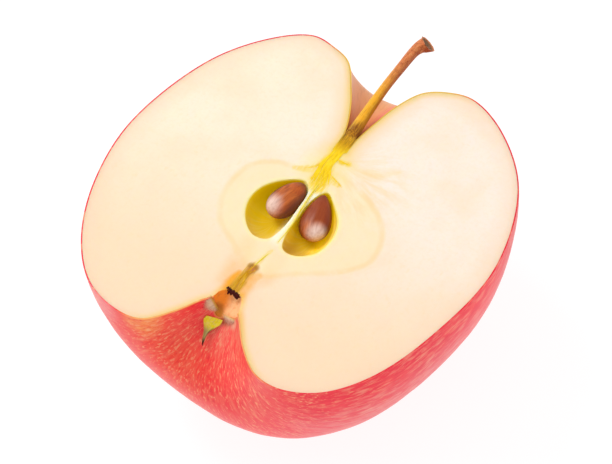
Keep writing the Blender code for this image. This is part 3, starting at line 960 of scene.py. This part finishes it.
def skin_look(settings):
    """Red skin with paler dashes drawn out along the fruit, tan in the stalk basin, with painted shade and
    sheen.
    """
    look = Look("apple skin")
    x, y, z = look.x, look.y, look.z
    flat = look.join(x, 0.0, z)
    reach = look.vector("LENGTH", flat)["Value"]
    spoke = look.vector("NORMALIZE", flat)
    down = look.attribute("walked")
    inner = reach.step(21.0, 13.0)

    def streak(across, along, detail, shift):
        """Noise drawn out along the fruit."""
        around = look.vector("SCALE", spoke, Scale=across)
        place = look.vector("ADD", around, look.join(0.0, down * along, shift))
        return look.noise(place, 1.0, detail, 0.55, 0.35)

    def streaks(across, along, detail, shift):
        """Streaks of about the same width near the core line and far from it."""
        outer = streak(across, along, detail, shift)
        return outer + (streak(across * 0.42, along, detail, shift) - outer) * inner

    broad = streaks(12.0, 0.12, 3.0, 31.0)
    soft = streaks(36.0, 0.3, 3.0, 3.0)
    dashes = streaks(70.0, 0.9, 2.0, 17.0)
    dashes = dashes + (streak(105.0, 0.42, 2.0, 23.0) - dashes) * reach.step(24.0, 30.0)
    fine = streaks(58.0, 0.45, 2.0, 61.0)
    folds = streaks(9.0, 0.1, 2.0, 47.0)
    patches = look.noise(look.place, 0.11, 2.0, 0.5)

    away = reach.step(5.0, 16.0)
    calyx_end = y.step(-22.0, -33.0) * reach.step(27.0, 10.0)
    end_red = look.mix(x.step(-7.0, 5.0), linear(252, 72, 42), linear(248, 60, 58))
    foot = look.far(-11.8, -32.6, -1.0).step(5.0, 1.0)
    calm = x.step(6.0, 20.0) * z.step(-22.0, -6.0) * y.step(-32.0, -22.0)
    fleck = dashes.step(0.54, 0.66) * (0.4 + patches.step(0.3, 0.7) * 0.3) * (1.0 - calm * 0.45)
    bloom_and_sheen = x.step(10.0, 26.0) * z.step(-3.0, -11.0) * z.step(-28.0, -19.0) * y.step(22.0, 12.0)
    near_cup = reach.step(11.0, 2.5) * y.step(-18.0, -24.0)
    beside_cup = reach.step(9.0, 3.0) * y.step(-18.0, -24.0) * x.step(-2.5, 0.0)
    shade = look.layers(
        settings.red,
        (broad.step(0.32, 0.58) * (away * 0.7 + 0.3), settings.deep),
        (calyx_end * 0.8, end_red),
        # Yellow and pink patches on the left foot.
        (foot * (soft.step(0.3, 0.6) * 0.4 + 0.4), linear(255, 166, 84)),
        (look.far(-21.0, -31.8, -2.0).step(6.0, 1.5) * 0.35, linear(250, 168, 176)),
        # The ground colour in soft streaks and short dashes, calmer at the lower right.
        (soft.step(0.46, 0.75) * away * (0.12 + patches.step(0.35, 0.65) * 0.35), settings.ground),
        (fleck, settings.ground),
        (calm * soft.step(0.5, 0.7) * 0.35, linear(244, 132, 128)),
        # Paler pink on the lower right flank: partly bloom, partly a painted sheen of light reflected near
        # the edge.
        (bloom_and_sheen * (soft.step(0.3, 0.62) * 0.3 + 0.04), linear(248, 150, 152)),
        (calyx_end * fine.step(0.42, 0.62) * 0.3, linear(250, 120, 92)),
        (dashes.step(0.46, 0.3) * 0.4, linear(226, 18, 50)),
        # Puckered skin round the calyx cup.
        (near_cup * folds.step(0.35, 0.65) * dashes * 0.7, linear(246, 168, 126)),
        (beside_cup * (folds * 0.3 + dashes.step(0.42, 0.62) * 0.6), linear(240, 150, 124)),
        # A painted shadow, in brown, below the right leaf.
        (look.far(-0.2, -23.9, -3.4).step(1.7, 0.3) * 0.85, linear(150, 78, 34)),
        (look.far(1.9, -24.2, -2.9).step(1.3, 0.4) * 0.6, linear(244, 184, 152)),
        (look.attribute("lip") * 0.8, linear(226, 164, 80)),
    )
    # Painted shade: the half towards the stalk darker, and the right flank a little darker, where much light
    # falls.
    shade = look.mix(y.step(-4.0, 18.0) * 0.7, shade, (0.84, 0.66, 0.68), "MULTIPLY")
    shade = look.mix(x.step(12.0, 28.0) * y.step(5.0, -8.0), shade, (0.92, 0.95, 0.94), "MULTIPLY")

    pit = y.step(11.0, 18.0)
    tan = look.mix(x.step(-2.0, 1.5), settings.russet, linear(240, 60, 54))
    stalk_end = y.step(5.0, 12.0)
    close_in = reach.step(6.0, 4.0)
    cut_edge = z.step(-0.3, -0.02)
    shade = look.layers(
        shade,
        (pit * reach.step(18.0, 8.0), tan),
        (pit * y.step(30.0, 20.5) * reach.step(8.0, 3.0) * 0.8, linear(206, 128, 46)),
        (pit * reach.step(14.0, 8.0) * soft.step(0.45, 0.7) * 0.3, linear(196, 120, 62)),
        (y.step(21.5, 19.5) * stalk_end * close_in, linear(150, 92, 16)),
        (cut_edge * y.step(12.0, 20.0) * reach.step(17.0, 9.0), settings.edge),
        (y.step(18.6, 16.4) * stalk_end * close_in, linear(240, 196, 30)),
        (cut_edge * y.step(-20.0, -26.0) * reach.step(18.0, 9.0) * 0.7, linear(248, 188, 96)),
    )
    relief = look.noise(look.place, 1.4, 3.0, 0.6) + folds * near_cup * 6.0
    return look.finish(
        Base_Color=shade,
        Roughness=0.36,
        Specular_IOR_Level=0.28,
        Normal=look.bump(relief, 0.12, 0.15 * MM),
    )


class FRUIT_OT_skin(bpy.types.Operator):
    """Builds the skin as a thin shell whose edge shows round the cut face"""

    bl_idname = "fruit.skin"
    bl_label = "Skin"

    def execute(self, context):
        settings = context.scene.halved_fruit.skin
        points, faces, marks = skin_shell(settings)
        add_piece("skin", points, faces, [skin_look(settings)], ["apple_half"], marks=marks)
        return {"FINISHED"}


def seed_points(settings, length, taper):
    """A drop along Y with its tip at +Y: blunt and round below, drawn out and slightly keeled above."""
    points = [np.array([0.0, length / 2, 0.0])]
    shares = np.cos(math.pi * np.arange(1, SEED_RINGS) / SEED_RINGS)
    widths = np.sqrt(1 - shares ** 2) * (1 - taper * shares) * (1 - 0.10 * np.clip(shares, 0, 1) ** 3)
    widths /= widths.max()
    for share, width in zip(shares, widths):
        for k in range(SEED_SEGMENTS):
            turn = 2 * math.pi * k / SEED_SEGMENTS
            flat = math.cos(turn)
            rise = math.sin(turn)
            x = settings.width / 2 * width * flat * (1 + 0.05 * share * flat)
            z = settings.thickness / 2 * width * math.copysign(abs(rise) ** 0.92, rise)
            keel = SEED_KEEL * hump(flat, 0.25) * width * max(0, share + 0.4) * (rise > 0)
            fold = SEED_FOLD * math.sin(9 * turn + 2.5 * share) * width
            points.append(np.array([x, share * length / 2, z + keel + fold * rise]))
    points.append(np.array([0.0, -length / 2, 0.0]))
    last = len(points) - 1
    faces = grid_faces(SEED_RINGS - 1, SEED_SEGMENTS, 1, flip=True, closed=True)
    faces += fan(1, SEED_SEGMENTS, 0, flip=True) + fan(last - SEED_SEGMENTS, SEED_SEGMENTS, last)
    return points, faces


def seed_look(settings, side):
    """Brown seed coat, streaked along its length, dark round its edges, with a painted highlight at its blunt
    end.
    """
    look = Look(f"seed coat {side}")
    y = look.y
    streak = look.drawn_noise(2.6, 0.3, 4.0, 0.6, 0.4)
    patch = look.noise(look.place, 0.35, 2.0, 0.5)
    rim = (abs(look.x) + look.z.step(1.6, -0.6) * 1.1).step(1.3, 2.8)
    shade = look.layers(
        settings.coat,
        (streak.step(0.25, 0.85), linear(136, 54, 16)),
        (patch.step(0.4, 0.7) * 0.4, linear(186, 76, 16)),
        (rim * 0.85, settings.dark),
        (y.step(2.4, 4.4) * 0.8, settings.dark),
    )
    # A painted highlight on the blunt end, laid over the coat colour.
    if side == "left":
        painted_highlight = look.far(-0.9, -3.1, 1.6).step(3.1, 0.3)
    else:
        # Painted shade: the right seed's upper part is darker, as it lies less in the light.
        shade = look.mix(y.step(-2.8, -0.8) * 0.75, shade, linear(138, 48, 8))
        painted_highlight = look.far(1.0, -3.8, 1.3).step(2.7, 0.5)
    return look.finish(
        Base_Color=look.mix(painted_highlight * (streak.step(0.75, 0.3) * 0.35 + 0.65), shade, settings.pale),
        Roughness=0.38,
        Specular_IOR_Level=0.32,
        Normal=look.bump(streak, 0.12, 0.1 * MM),
    )


class FRUIT_OT_seeds(bpy.types.Operator):
    """Builds both seeds in their chambers"""

    bl_idname = "fruit.seeds"
    bl_label = "Seeds"

    def execute(self, context):
        settings = context.scene.halved_fruit.seed
        for side, (centre, length, turn, taper) in SEEDS.items():
            points, faces = seed_points(settings, length, taper)
            look = seed_look(settings, side)
            piece = add_piece(f"seed_coat_{side}", points, faces, [look], [f"seed_{side}"])
            lift = Matrix.Rotation(turn, 4, "Z") @ Matrix.Rotation(settings.tip_rise, 4, "X")
            piece.matrix_world = Matrix.Translation(CORE + Vector(centre) * MM) @ lift
        return {"FINISHED"}


def tube(line, radii, steps, segments, shape=None):
    """Points and faces of a bar along a smooth line. shape(share, turn) scales its radius."""
    places = np.arange((len(line) - 1) * steps + 1) / steps
    middles = along_curve(line, places)
    sizes = values_along(radii, places)
    ahead = np.gradient(middles, axis=0)
    ahead /= np.linalg.norm(ahead, axis=1, keepdims=True)
    across = np.cross(ahead, (0, 0, 1))
    across /= np.linalg.norm(across, axis=1, keepdims=True)
    up = np.cross(across, ahead)
    points = []
    for i, middle in enumerate(middles):
        for k in range(segments):
            turn = 2 * math.pi * k / segments
            radius = sizes[i] * (shape(i / (len(middles) - 1), turn) if shape else 1)
            points.append(middle + radius * (across[i] * math.cos(turn) + up[i] * math.sin(turn)))
    first_of_last = len(points) - segments
    faces = grid_faces(len(middles), segments, closed=True)
    faces += fan(0, segments, len(points), flip=True) + fan(first_of_last, segments, len(points) + 1)
    return np.array([*points, middles[0], middles[-1]]), faces


def stalk_mesh(settings):
    """The ridged stalk, its root sliced just over the cut face and its end torn off askew and hollow."""

    def ridged(share, turn):
        wobble = 0.02 * math.sin(7 * share + turn * 2) + 0.015 * math.sin(23 * share + turn)
        return 1 + settings.ridge_height * math.sin(settings.ridges * turn + 4 * share) + wobble

    points, faces = tube(STALK_LINE, STALK_RADII, STALK_STEPS, STALK_SEGMENTS, ridged)
    rise, run = STALK_CUT_SLOPE
    ceiling = STALK_CUT_HEIGHT + rise * np.clip((points[:, 1] - STALK_CUT) / run, 0, 1)
    points[:, 2] = np.minimum(points[:, 2], ceiling)
    end = points[-1].copy()
    ahead = np.array(STALK_LINE[-1]) - np.array(STALK_LINE[-2])
    ahead /= np.linalg.norm(ahead)
    rings = points[:-2].reshape(-1, STALK_SEGMENTS, 3)
    for count in range(STALK_END_RINGS):
        ring = rings[-1 - count]
        slide = (ring - end) @ ahead - (ring - end) @ STALK_END / (ahead @ STALK_END)
        ring += slide[:, None] * ahead * (1 - count / STALK_END_RINGS)
    points[-1] = end - ahead * STALK_END_HOLLOW
    turns = 2 * math.pi * np.arange(STALK_SEGMENTS) / STALK_SEGMENTS
    marks = {"side": np.append(np.tile(np.cos(turns), len(rings)), (0.0, 0.0))}
    return points, faces, marks


def stalk_look(settings):
    """Woody stalk, gold below, brown above, painted shade on the right, painted highlight on the left, a dark
    torn end and an ochre root.
    """
    look = Look("stalk")
    y = look.y
    grain = look.drawn_noise(3.0, 0.35, 4.0, 0.65, 0.3)
    rings = look.drawn_noise(0.4, 2.4, 2.0, 0.5)
    specks = look.drawn_noise(1.2, 1.2, 4.0, 0.7)
    side = look.attribute("side")
    sliced = look.layers(
        settings.ochre,
        (grain.step(0.4, 0.65), linear(176, 130, 10)),
        (y.step(17.6, 15.4), linear(240, 200, 24)),
        (y.step(16.0, 18.0) * abs(side).step(0.6, 1.0) * 0.8, linear(122, 92, 10)),
    )
    shade = look.layers(
        settings.gold,
        (y.step(27.0, 38.0), settings.brown),
        (grain.step(0.45, 0.7) * 0.5, linear(150, 78, 18)),
        (rings.step(0.55, 0.72) * y.step(38.0, 28.0) * 0.3, linear(255, 206, 90)),
        # Painted shade down the right side, and a painted highlight down the left of the lower stalk.
        (side.step(0.35, 0.95) * 0.5, linear(126, 56, 10)),
        (side.step(0.0, -0.7) * y.step(40.0, 26.0) * 0.5, linear(255, 204, 84)),
        (y.step(23.2, 20.5) * (grain.step(0.3, 0.65) * 0.5 + 0.35), linear(112, 50, 8)),
        (y.step(STALK_CUT + 0.5, STALK_CUT - 0.5), sliced),
        (specks.step(0.5, 0.66) * y.step(30.0, 38.0) * 0.55, linear(130, 50, 18)),
        (specks.step(0.48, 0.36) * y.step(32.0, 40.0) * 0.35, linear(240, 176, 110)),
        (look.far(0.5, 43.85).step(1.7, 1.2) * (specks.step(0.7, 0.4) * 0.4 + 0.55), linear(92, 58, 2)),
    )
    return look.finish(
        Base_Color=shade,
        Roughness=0.5,
        Specular_IOR_Level=0.2,
        Normal=look.bump(grain, 0.6, 0.2 * MM),
    )


def strands(lines, flatness):
    """Points and faces of many thin tapered strands. Each line is its points and its largest radius."""
    points, faces = [], []
    for line, radius in lines:
        swell = [math.sin(math.pi * (0.12 + 0.76 * k / (len(line) - 1))) for k in range(len(line))]
        radii = [radius * (0.25 + 0.75 * share) for share in swell]
        made, quads = tube(line, radii, STRAND_STEPS, STRAND_SEGMENTS)
        middle = np.mean([spot[2] for spot in line])
        made[:, 2] = middle + (made[:, 2] - middle) * flatness
        faces += [tuple(index + len(points) for index in quad) for quad in quads]
        points += [*made]
    return np.array(points), faces


def strand_look(name, shades, upper=None):
    """Three shades across the strands, from ragged noise, and another towards the stalk's root."""
    look = Look(name)
    grain = look.drawn_noise(2.4, 0.5, 4.0, 0.6, 0.3)
    shade = look.node("ShaderNodeValToRGB", {"stops": list(zip((0.3, 0.5, 0.72), shades))}, {"Fac": grain})
    if upper:
        shade = look.mix(look.y.step(14.6, 17.2), shade, upper)
    return look.finish(Base_Color=shade, Roughness=0.6, Specular_IOR_Level=0.12)


def add_strands(name, lines, flatness, look):
    points, faces = strands(lines, flatness)
    add_piece(name, points * MM, faces, [look], [])


def jittered(rng, line, spread):
    return [(x + rng.uniform(-spread, spread), y + rng.uniform(-spread, spread), z) for x, y, z in line]


def root_fibre_lines(rng):
    """Vessels that leave the sliced root, run down between the chambers and branch off to both sides."""
    lines = []
    for _ in range(ROOT_FIBRES):
        u = rng.random()
        end = 6.9 + 2.6 * rng.random()
        start = 18.6 - 3.0 * rng.random()
        line = ((-1.8 + 2.0 * u, start, 0.1), (-1.85 + 1.95 * u, 14.4, 0.03), (-2.25 + 2.3 * u, 11.9, 0.0),
                (-2.1 + 2.8 * u, 10.0, 0.0), (-2.0 + 3.6 * u, end, -0.03))
        lines.append((jittered(rng, line, 0.12), rng.uniform(0.05, 0.1)))
    for line, count, radius in ROOT_BRANCHES:
        lines += [(jittered(rng, line, 0.25), rng.uniform(0.6, 1.0) * radius) for _ in range(count)]
    return lines


class FRUIT_OT_stalk(bpy.types.Operator):
    """Builds the stalk, its sliced root, the vessels under it and the thread between the chambers"""

    bl_idname = "fruit.stalk"
    bl_label = "Stalk"

    def execute(self, context):
        settings = context.scene.halved_fruit.stalk
        points, faces, marks = stalk_mesh(settings)
        look = stalk_look(settings)
        add_piece("stalk", points * MM, faces, [look], ["stem"], sharp=50.0, marks=marks)
        yellows = (linear(240, 194, 8), settings.fibre, linear(255, 226, 60))
        look = strand_look("root fibre", yellows, linear(216, 162, 14))
        add_strands("root_fibres", root_fibre_lines(random.Random(5)), 0.6, look)
        greens = (linear(230, 204, 26), linear(240, 218, 56), linear(250, 234, 116))
        add_strands("core_thread", THREADS, 0.7, strand_look("core thread", greens))
        return {"FINISHED"}


def calyx_bundle_lines(rng):
    """The browned vessels between the calyx cup and the core."""
    lines = []
    for _ in range(BUNDLE_STRANDS):
        u = rng.random()
        top = -13.2 - 2.4 * rng.random()
        line = ((-1.95 + 2.2 * u, -19.9, 0.02), (-1.75 + 1.7 * u, -17.6, 0.02), (-1.5 + 1.5 * u, -15.6, 0.02),
                (-1.4 + 1.9 * u, top, 0.0))
        lines.append((jittered(rng, line, 0.3), rng.uniform(0.06, 0.12)))
    return lines


def stamen_lines(rng):
    """Short withered stamens in a row along the cup's inner end, which hang into it."""
    lines = []
    for k in range(STAMENS):
        u = k / (STAMENS - 1)
        spot = np.array([-2.1 + 2.8 * u, -19.75 - 0.5 * u, -0.05])
        hang = (rng.uniform(-0.35, 0.35), -rng.uniform(0.1, 0.65) * (1 - 0.5 * u), -rng.uniform(0.2, 0.9))
        reach = np.array(hang)
        back = np.array([rng.uniform(-0.2, 0.2), rng.uniform(0.1, 0.45), 0.1])
        lines.append(([spot + back, spot, spot + reach * 0.5, spot + reach], rng.uniform(0.14, 0.25)))
    return lines


def leaf_mesh(root, around, length, half_widths, lift, curl, thickness, askew):
    """A thin cupped leaf from the cup's rim that lies along the basin wall, its tip lifted and curled."""
    places = np.linspace(root, root - LEAF_RUN, OUTLINE_SAMPLES)
    line = back_surface(places, [around - LEAF_SPAN, around, around + LEAF_SPAN])
    reached = walked(line[:, 1])
    shares = np.linspace(0, 1, LEAF_ROWS)
    sides = np.linspace(-1, 1, LEAF_COLUMNS)
    halves = values_along(half_widths, shares * (len(half_widths) - 1)) * MM
    top, under = [], []
    for share, half in zip(shares, halves):
        index = int(np.searchsorted(reached, share * length))
        across = line[index, 2] - line[index, 0]
        across /= np.linalg.norm(across)
        along = line[index + 1, 1] - line[max(index - 1, 0), 1]
        along /= np.linalg.norm(along)
        off = np.cross(along, across)
        off = off if off[1] < 0 else -off
        base = line[index, 1] + off * (LEAF_CLEAR + 0.5 * thickness + lift * share ** 2)
        base = base + across * curl * share ** 3
        for side in sides:
            cup = thickness * side ** 2 * (1 - 0.5 * share)
            ripple = 0.15 * thickness * math.sin(9 * share + 3 * side)
            thick = thickness * (1 - 0.75 * side ** 2) * (1 - 0.6 * share)
            middle = base + (across + along * askew * (1 - share)) * half * side + off * (cup + ripple)
            top.append(middle + off * thick / 2)
            under.append(middle - off * thick / 2)
    marks = {"along": np.tile(np.repeat(shares, LEAF_COLUMNS), 2), "across": np.tile(sides, 2 * LEAF_ROWS)}
    return top + under, shell_faces(LEAF_ROWS, LEAF_COLUMNS), marks


def leaf_look(settings, side):
    """A dried leaf. The marks along and across it run from 0 to 1 and from -1 to 1."""
    look = Look(f"calyx leaf {side}")
    along = look.attribute("along")
    across = look.attribute("across")
    grain = look.noise(look.place, 2.2, 4.0, 0.6)
    veins = look.noise(look.join(across * 5.0, along * 2.0, 0.0), 1.0, 3.0, 0.6)
    shade = look.layers(
        settings.green if side == "middle" else settings.grey,
        (grain.step(0.35, 0.7) * 0.3, settings.grey),
        (veins.step(0.5, 0.72) * 0.35, linear(120, 92, 26)),
    )
    if side == "middle":
        clear = 1.0
        shade = look.layers(
            shade,
            (along.step(0.3, 0.6) * 0.85, linear(160, 140, 96)),
            (across.step(-0.5, -0.95) * along.step(0.25, 0.5) * 0.8, settings.dark),
            (along.step(0.72, 0.92), settings.dark),
        )
    else:
        # The outer leaves thin out at their sides and tips.
        spread = across * across * 1.1 + along * along + (grain - 0.5) * 0.5
        clear = spread.step(0.9, 0.0) * 0.9
    if side == "left":
        shade = look.layers(
            shade,
            (along.step(0.3, 0.9), linear(226, 120, 104)),
            (along.step(0.2, 0.04), linear(214, 158, 60)),
        )
    elif side == "right":
        shade = look.layers(
            shade,
            (along.step(0.1, 0.5) * 0.8, linear(206, 130, 110)),
            (along.step(0.25, 0.05) * 0.8, linear(236, 190, 112)),
        )
    return look.finish(
        Base_Color=shade,
        Roughness=0.7,
        Specular_IOR_Level=0.2,
        Alpha=clear,
        Normal=look.bump(grain + veins, 0.5, 0.15 * MM),
    )


class FRUIT_OT_calyx(bpy.types.Operator):
    """Builds the three dried calyx leaves, the browned vessels over the cup and the stamens left in it"""

    bl_idname = "fruit.calyx"
    bl_label = "Calyx"

    def execute(self, context):
        settings = context.scene.halved_fruit.calyx
        for side, shape in LEAVES.items():
            points, faces, marks = leaf_mesh(*shape)
            look = leaf_look(settings, side)
            add_piece(f"calyx_leaf_{side}", points, faces, [look], [f"sepal_{side}"], marks=marks)
        rng = random.Random(11)
        browns = (linear(190, 122, 8), linear(226, 168, 20), linear(240, 196, 70))
        look = strand_look("calyx bundle", browns)
        add_strands("calyx_bundle", calyx_bundle_lines(rng), 0.5, look)
        darks = (linear(44, 0, 8), linear(66, 8, 8), linear(104, 36, 20))
        add_strands("stamens", stamen_lines(rng), 1.0, strand_look("stamens", darks))
        return {"FINISHED"}


def add_floor(settings):
    look = Look("stage floor")
    finish = look.finish(Base_Color=tuple(settings.floor), Roughness=0.9, Emission_Color=(1, 1, 1),
                         Emission_Strength=settings.floor_glow)
    data = bpy.data.meshes.new("stage_floor")
    corners = [(x * FLOOR_HALF, y * FLOOR_HALF, 0) for x, y in ((-1, -1), (1, -1), (1, 1), (-1, 1))]
    data.from_pydata(corners, [], [(0, 1, 2, 3)])
    data.materials.append(finish)
    floor = bpy.data.objects.new("stage_floor", data)
    bpy.context.scene.collection.objects.link(floor)
    floor.location.z = -FLOOR_DROP


def add_sky():
    """A white surround, brightest at the horizon."""
    world = bpy.data.worlds.new("soft studio")
    bpy.context.scene.world = world
    sky = Nodes(world)
    direction = sky.node("ShaderNodeTexCoord", {}, {})["Generated"]
    height = sky.node("ShaderNodeSeparateXYZ", {}, {"Vector": direction})["Z"]
    strength = sky.node("ShaderNodeMapRange", {}, {"Value": height, **SKY})
    glow = sky.node("ShaderNodeBackground", {}, {"Color": (1, 1, 1), "Strength": strength})
    sky.node("ShaderNodeOutputWorld", {}, {"Surface": glow})


def area_light(name, direction, distance, width, height, power):
    """A softbox that looks at the fruit from a direction."""
    data = bpy.data.lights.new(name, "AREA")
    data.shape = "RECTANGLE"
    data.size = width
    data.size_y = height
    data.energy = power
    light = bpy.data.objects.new(name, data)
    bpy.context.scene.collection.objects.link(light)
    ray = Vector(direction).normalized()
    light.location = CORE + ray * distance
    light.rotation_euler = ray.to_track_quat("Z", "Y").to_euler()


def add_camera(settings):
    turn, tilt, roll = settings.camera_turn, settings.camera_tilt, settings.camera_roll
    right = Vector((math.cos(turn), math.sin(turn), 0))
    ahead = Vector((-math.sin(turn) * math.cos(tilt), math.cos(turn) * math.cos(tilt), -math.sin(tilt)))
    up = right.cross(ahead)
    right, up = (right * math.cos(roll) + up * math.sin(roll), up * math.cos(roll) - right * math.sin(roll))
    lens = bpy.data.cameras.new("camera")
    lens.sensor_width = SENSOR_WIDTH
    lens.lens = settings.focal_length
    lens.dof.use_dof = False
    camera = bpy.data.objects.new("camera", lens)
    bpy.context.scene.collection.objects.link(camera)
    camera.location = CORE + AIM + right * AIM_RIGHT + up * AIM_UP - ahead * settings.camera_distance
    camera.rotation_euler = Matrix((right, up, -ahead)).transposed().to_euler()
    bpy.context.scene.camera = camera


class FRUIT_OT_stage(bpy.types.Operator):
    """Sets the floor, the soft light and the camera"""

    bl_idname = "fruit.stage"
    bl_label = "Stage"

    def execute(self, context):
        settings = context.scene.halved_fruit.stage
        add_floor(settings)
        add_sky()
        for name, light in LIGHTS.items():
            area_light(name, *light)
        add_camera(settings)
        context.scene.view_settings.view_transform = "Standard"
        context.scene.view_settings.look = "None"
        return {"FINISHED"}


OPERATORS = (FRUIT_OT_flesh, FRUIT_OT_skin, FRUIT_OT_seeds, FRUIT_OT_stalk, FRUIT_OT_calyx, FRUIT_OT_stage)


class FRUIT_PT_halved(bpy.types.Panel):
    """Lists the pieces of the halved apple"""

    bl_label = "Halved apple"
    bl_idname = "FRUIT_PT_halved"
    bl_space_type = "VIEW_3D"
    bl_region_type = "UI"
    bl_category = "Fruit"

    def draw(self, context):
        for operator in OPERATORS:
            self.layout.operator(operator.bl_idname)


SETTINGS = (FleshSettings, SkinSettings, SeedSettings, StalkSettings, CalyxSettings, StageSettings,
            FruitSettings)
CLASSES = (*SETTINGS, *OPERATORS, FRUIT_PT_halved)


def register():
    for cls in CLASSES:
        bpy.utils.register_class(cls)
    bpy.types.Scene.halved_fruit = PointerProperty(type=FruitSettings)


def unregister():
    del bpy.types.Scene.halved_fruit
    for cls in reversed(CLASSES):
        bpy.utils.unregister_class(cls)


def main():
    register()
    bpy.ops.fruit.flesh()
    bpy.ops.fruit.skin()
    bpy.ops.fruit.seeds()
    bpy.ops.fruit.stalk()
    bpy.ops.fruit.calyx()
    bpy.ops.fruit.stage()


if __name__ == "__main__":
    main()
